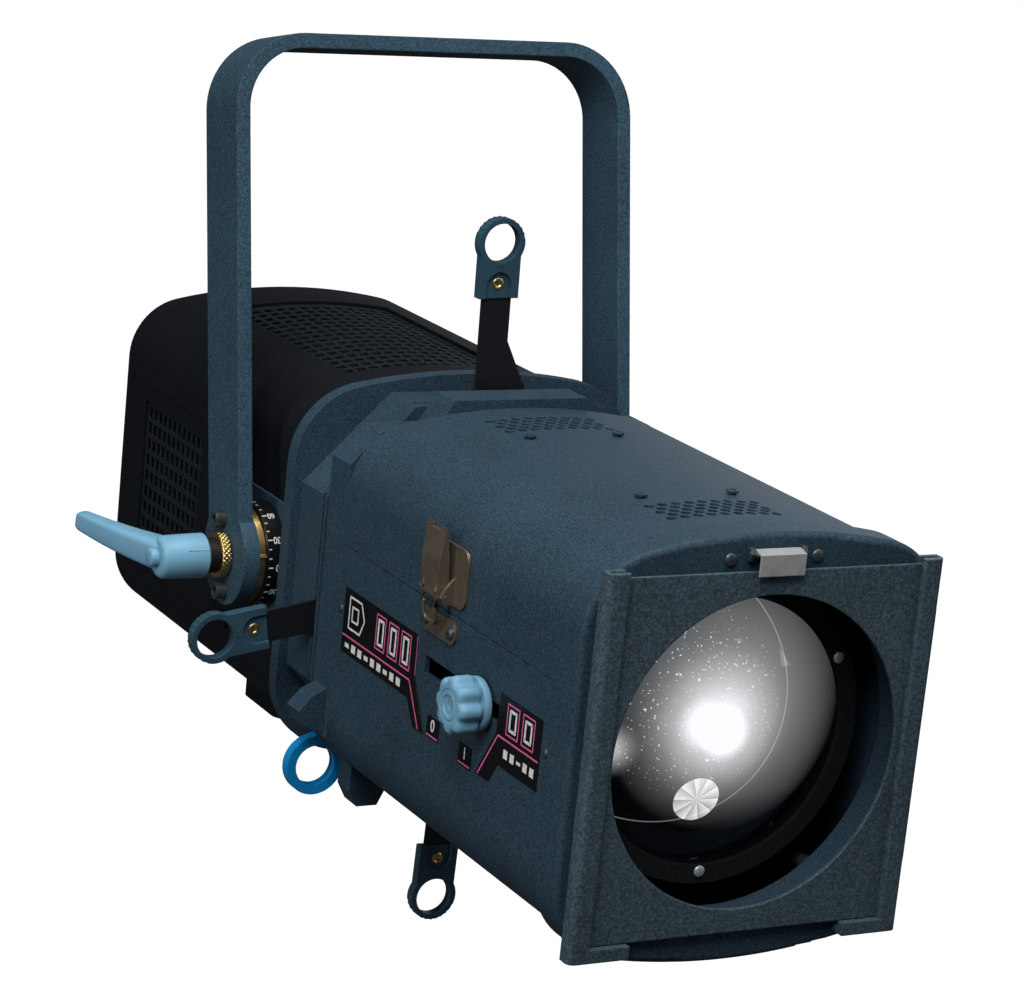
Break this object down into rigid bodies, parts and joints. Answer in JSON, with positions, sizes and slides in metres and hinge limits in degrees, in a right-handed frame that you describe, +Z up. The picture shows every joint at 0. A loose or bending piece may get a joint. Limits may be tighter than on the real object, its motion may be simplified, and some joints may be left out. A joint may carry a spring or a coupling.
{
  "type": "ellipsoidal spotlight",
  "caption": "Yoke-hung profile spotlight with hinged lens barrel cover, framing shutters, iris lever, sliding lenses and colour frame.",
  "frame": {"origin": "middle of the suspension hole in the yoke's top bar", "axes": "+Z up out of the yoke's top, -Y the way the light leaves, +X to the right seen from behind the lens"},
  "size_m": [0.3557, 0.6144, 0.4895],
  "materials": {
    "dark_paint": "fine textured dark blue-grey paint",
    "yoke_paint": "fine textured dark blue-grey paint",
    "grille_black": "matt black",
    "frame_grey": "satin grey-teal paint",
    "lever_plastic": "grey-blue moulded plastic",
    "handle_plastic": "dark slate moulded plastic",
    "iris_blue": "bright blue moulded plastic",
    "black_rubber": "black",
    "scale_black": "printed black",
    "blade_steel": "blackened steel",
    "brass": "turned",
    "bronze": "dark bronzed steel",
    "dark_steel": "dark zinc",
    "bright_steel": "spring steel",
    "mirror_coat": "faceted bright coat",
    "lens_glass": "polished",
    "bulb_glass": "clear quartz",
    "ceramic_white": "matt",
    "carriage_black": "matt black"
  },
  "bodies": {
    "yoke": {"yoke": "yoke_paint", "arm_bolts": "dark_steel", "tilt_rings": "brass"},
    "clamp_lever": {"knurled_nut": "brass", "lever_sleeve": "black_rubber", "clamp_lever": "lever_plastic"},
    "lamp": {"tilt_drums": "scale_black", "pivot_brackets": "dark_paint", "pivot_studs": "dark_steel", "house_shell": "dark_paint", "house_grilles": "grille_black", "front_ring": "dark_paint", "rear_cap": "dark_paint", "reflector": "mirror_coat", "carrier_frame": "bright_steel", "terminal_box": "dark_paint", "cable_gland": "black_rubber", "gate_housing": "dark_paint", "aperture_plate": "grille_black", "gate_posts": "grille_black", "barrel_flange": "dark_paint", "flange_lugs": "dark_paint", "barrel_body": "dark_paint", "hinge_lower": "dark_paint", "front_bezel": "dark_paint", "lens_rods": "dark_steel", "latch_keeper": "bronze", "colour_frame": "frame_grey", "frame_runners": "frame_grey", "catch_bracket": "dark_steel", "casing_screws": "dark_steel", "scale_panels": "scale_black"},
    "lamp_carrier": {"lamp_carrier": "bright_steel", "lamp_socket": "ceramic_white", "lamp_base": "ceramic_white", "lamp_bulb": "bulb_glass"},
    "adjust_knob": {"adjust_knob": "lever_plastic"},
    "shutter_top": {"shutter_blade_top": "blade_steel", "shutter_handle_top": "handle_plastic"},
    "shutter_bottom": {"shutter_blade_bottom": "blade_steel", "shutter_handle_bottom": "handle_plastic"},
    "shutter_left": {"shutter_blade_left": "blade_steel", "shutter_handle_left": "handle_plastic"},
    "shutter_right": {"shutter_blade_right": "blade_steel", "shutter_handle_right": "handle_plastic"},
    "iris": {"iris_ring": "iris_blue", "iris_handle": "iris_blue"},
    "front_carriage": {"front_lens_carriage": "carriage_black", "front_lens": "lens_glass"},
    "front_focus_knob": {"front_focus_knob": "lever_plastic"},
    "rear_carriage": {"rear_lens_carriage": "carriage_black", "rear_lens": "lens_glass"},
    "rear_focus_knob": {"rear_focus_knob": "lever_plastic"},
    "top_cover": {"top_cover": "dark_paint", "cover_baffles": "grille_black", "cover_screws": "dark_steel", "hinge_upper": "dark_paint", "latch_plate": "bronze"},
    "latch_lever": {"latch_lever": "bronze"},
    "frame_catch": {"frame_catch": "bright_steel"}
  },
  "joints": [
    {"name": "tilt", "type": "hinge", "parent": "yoke", "child": "lamp", "pos_m": [0, 0, -0.2775], "axis": [1, 0, 0], "range_deg": [-60, 75]},
    {"name": "clamp_turn", "type": "hinge", "parent": "yoke", "child": "clamp_lever", "pos_m": [0, 0, -0.2775], "axis": [1, 0, 0], "range_deg": [-90, 90]},
    {"name": "shutter_top_slide", "type": "slide", "parent": "lamp", "child": "shutter_top", "axis": [-0.0262, -0.2078, 0.9778], "range_m": [-0.042, 0.008]},
    {"name": "shutter_bottom_slide", "type": "slide", "parent": "lamp", "child": "shutter_bottom", "axis": [-0.0262, 0.2078, -0.9778], "range_m": [-0.042, 0.008]},
    {"name": "shutter_left_slide", "type": "slide", "parent": "lamp", "child": "shutter_left", "axis": [-0.9877, 0.0325, -0.153], "range_m": [-0.014, 0.03]},
    {"name": "shutter_right_slide", "type": "slide", "parent": "lamp", "child": "shutter_right", "axis": [0.9877, 0.0325, -0.153], "range_m": [-0.014, 0.03]},
    {"name": "iris_turn", "type": "hinge", "parent": "lamp", "child": "iris", "pos_m": [0, -0.07067, -0.29252], "axis": [0, 0.9781, 0.2079], "range_deg": [-14, 14]},
    {"name": "front_focus_slide", "type": "slide", "parent": "lamp", "child": "front_carriage", "axis": [0, 0.9781, 0.2079], "range_m": [-0.012, 0.052]},
    {"name": "rear_focus_slide", "type": "slide", "parent": "lamp", "child": "rear_carriage", "axis": [0, 0.9781, 0.2079], "range_m": [-0.03, 0.026]},
    {"name": "front_knob_turn", "type": "hinge", "parent": "front_carriage", "child": "front_focus_knob", "pos_m": [-0.107, -0.2553, -0.33176], "axis": [-1, 0, 0], "range_deg": [-180, 180]},
    {"name": "rear_knob_turn", "type": "hinge", "parent": "rear_carriage", "child": "rear_focus_knob", "pos_m": [0.107, -0.14477, -0.30827], "axis": [1, 0, 0], "range_deg": [-180, 180]},
    {"name": "cover_hinge", "type": "hinge", "parent": "lamp", "child": "top_cover", "pos_m": [0.1017, -0.21408, -0.28998], "axis": [0, 0.9781, 0.2079], "range_deg": [0, 100]},
    {"name": "latch_turn", "type": "hinge", "parent": "top_cover", "child": "latch_lever", "pos_m": [-0.1036, -0.2161, -0.28049], "axis": [0, -0.9781, -0.2079], "range_deg": [0, 110]},
    {"name": "catch_spring", "type": "hinge", "parent": "lamp", "child": "frame_catch", "pos_m": [0, -0.36516, -0.25452], "axis": [-1, 0, 0], "range_deg": [0, 50], "stiffness_Nm_per_rad": 0.3},
    {"name": "adjust_knob_turn", "type": "hinge", "parent": "lamp", "child": "adjust_knob", "pos_m": [0, 0.23163, -0.26098], "axis": [0, 0.9781, 0.2079], "range_deg": [-550, 550]},
    {"name": "lamp_carrier_slide", "type": "slide", "parent": "lamp", "child": "lamp_carrier", "axis": [0, 0.9781, 0.2079], "range_m": [-0.003, 0.003]}
  ],
  "couplings": [
    {"joint": "adjust_knob_turn", "follows": "lamp_carrier_slide", "rad_per_m": 3141.6}
  ]
}
